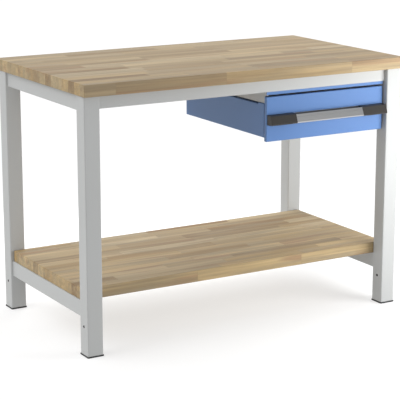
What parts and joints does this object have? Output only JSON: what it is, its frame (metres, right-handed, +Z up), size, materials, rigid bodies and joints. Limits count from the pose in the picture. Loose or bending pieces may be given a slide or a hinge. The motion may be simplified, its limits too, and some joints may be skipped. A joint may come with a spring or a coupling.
{
  "type": "workbench with drawer",
  "caption": "Workbench with a solid wood top and lower shelf on a square-tube steel frame, with a drawer on slides hung under the top.",
  "frame": {"origin": "on the floor under the middle of the worktop, which is the middle of the whole part", "axes": "+X along the bench to the right seen from the front, +Y from the front to the back, +Z up"},
  "size_m": [1.25, 0.7, 0.9],
  "materials": {
    "beech": "oiled, satin",
    "grey_coat": "satin powder coat",
    "blue_coat": "satin powder coat",
    "black_plastic": "matte",
    "dark_plastic": "fine matte grain",
    "bare_aluminium": "satin anodised",
    "zinc_steel": "zinc plated"
  },
  "bodies": {
    "frame": {"worktop": "beech", "shelf": "beech", "leg_front_left": "grey_coat", "leg_front_right": "grey_coat", "leg_back_left": "grey_coat", "leg_back_right": "grey_coat", "upper_crossbar_left": "grey_coat", "upper_crossbar_right": "grey_coat", "lower_crossbar_left": "grey_coat", "lower_crossbar_right": "grey_coat", "front_rail": "grey_coat", "back_rail": "grey_coat", "hanger_left": "grey_coat", "hanger_right": "grey_coat", "foot_front_left": "black_plastic", "foot_front_right": "black_plastic", "foot_back_left": "black_plastic", "foot_back_right": "black_plastic", "housing_side_left": "blue_coat", "housing_side_right": "blue_coat", "housing_back": "blue_coat", "housing_strip": "blue_coat", "slide_outer_left": "zinc_steel", "slide_outer_right": "zinc_steel", "rail_bolt_front_left_low": "zinc_steel", "rail_bolt_front_left_high": "zinc_steel", "rail_bolt_front_right_low": "zinc_steel", "rail_bolt_front_right_high": "zinc_steel", "rail_bolt_back_left_low": "zinc_steel", "rail_bolt_back_left_high": "zinc_steel", "rail_bolt_back_right_low": "zinc_steel", "rail_bolt_back_right_high": "zinc_steel", "hanger_bolt_front_left": "zinc_steel", "hanger_bolt_front_right": "zinc_steel", "hanger_bolt_back_left": "zinc_steel", "hanger_bolt_back_right": "zinc_steel", "worktop_screw_front_left": "zinc_steel", "worktop_screw_front_right": "zinc_steel", "worktop_screw_back_left": "zinc_steel", "worktop_screw_back_right": "zinc_steel", "shelf_screw_front_left": "zinc_steel", "shelf_screw_front_right": "zinc_steel", "shelf_screw_back_left": "zinc_steel", "shelf_screw_back_right": "zinc_steel"},
    "slide_middles": {"slide_middle_left": "zinc_steel", "slide_middle_right": "zinc_steel"},
    "drawer": {"slide_inner_left": "zinc_steel", "slide_inner_right": "zinc_steel", "drawer_tray": "grey_coat", "drawer_back": "grey_coat", "drawer_front_plate": "grey_coat", "drawer_front": "blue_coat", "handle_bar": "bare_aluminium", "handle_cap_left": "dark_plastic", "handle_cap_right": "dark_plastic", "front_screw_low_left": "zinc_steel", "front_screw_low_right": "zinc_steel", "front_screw_high_left": "zinc_steel", "front_screw_high_right": "zinc_steel"}
  },
  "joints": [
    {"name": "drawer_slide", "type": "slide", "parent": "frame", "child": "drawer", "axis": [0, -1, 0], "range_m": [0, 0.5]},
    {"name": "slide_middle_slide", "type": "slide", "parent": "frame", "child": "slide_middles", "axis": [0, -1, 0], "range_m": [0, 0.25]}
  ],
  "couplings": [
    {"joint": "slide_middle_slide", "follows": "drawer_slide", "ratio": 0.5}
  ]
}
